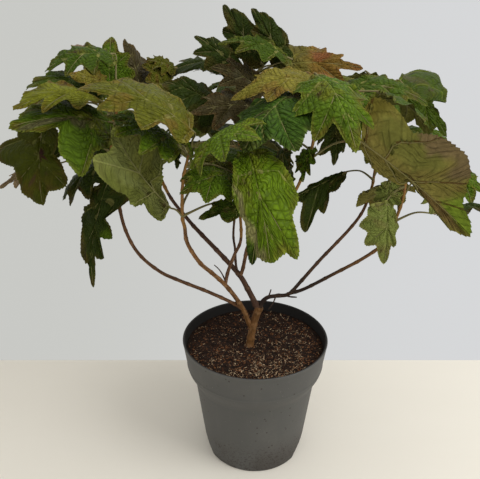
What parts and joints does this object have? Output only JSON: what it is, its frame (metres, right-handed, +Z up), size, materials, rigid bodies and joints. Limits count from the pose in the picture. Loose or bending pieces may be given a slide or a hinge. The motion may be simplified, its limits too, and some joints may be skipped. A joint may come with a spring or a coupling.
{
  "type": "potted oakleaf hydrangea",
  "caption": "Oakleaf hydrangea shrub in a round plastic grower pot: a short trunk forks low into slender boughs that carry masses of large lobed leaves.",
  "frame": {"origin": "centre of the pot's flat underside", "axes": "+Z up along the pot's axis; -Y towards the side that the plant is seen from; +X to the right from there"},
  "size_m": [0.6772, 0.5055, 0.6765],
  "materials": {
    "pot_plastic": "dusty anthracite plastic, satin",
    "compost": "moist peaty compost with pale fibres",
    "bark_tan": "young orange-tan bark",
    "bark_brown": "brown bark",
    "bark_dark": "dark brown bark",
    "foliage": "wrinkled green leaves with a few bronze ones, paler beneath"
  },
  "bodies": {
    "root": {"pot": "pot_plastic", "compost": "compost", "trunk": "bark_tan", "bough_centre_left": "bark_tan", "bough_left": "bark_brown", "bough_centre_top": "bark_brown", "bough_left_back": "bark_dark", "bough_centre_right": "bark_brown", "bough_back": "bark_dark", "bough_right": "bark_dark", "bough_far_right": "bark_brown", "dead_twig_left": "bark_dark", "dead_twig_near": "bark_dark", "dead_twig_low": "bark_tan", "dead_twig_far": "bark_dark", "leaves_left": "foliage", "leaves_left_back": "foliage", "leaves_centre_left": "foliage", "leaves_centre_top": "foliage", "leaves_centre_right": "foliage", "leaves_right": "foliage", "leaves_far_right": "foliage", "leaves_back": "foliage"}
  },
  "joints": []
}
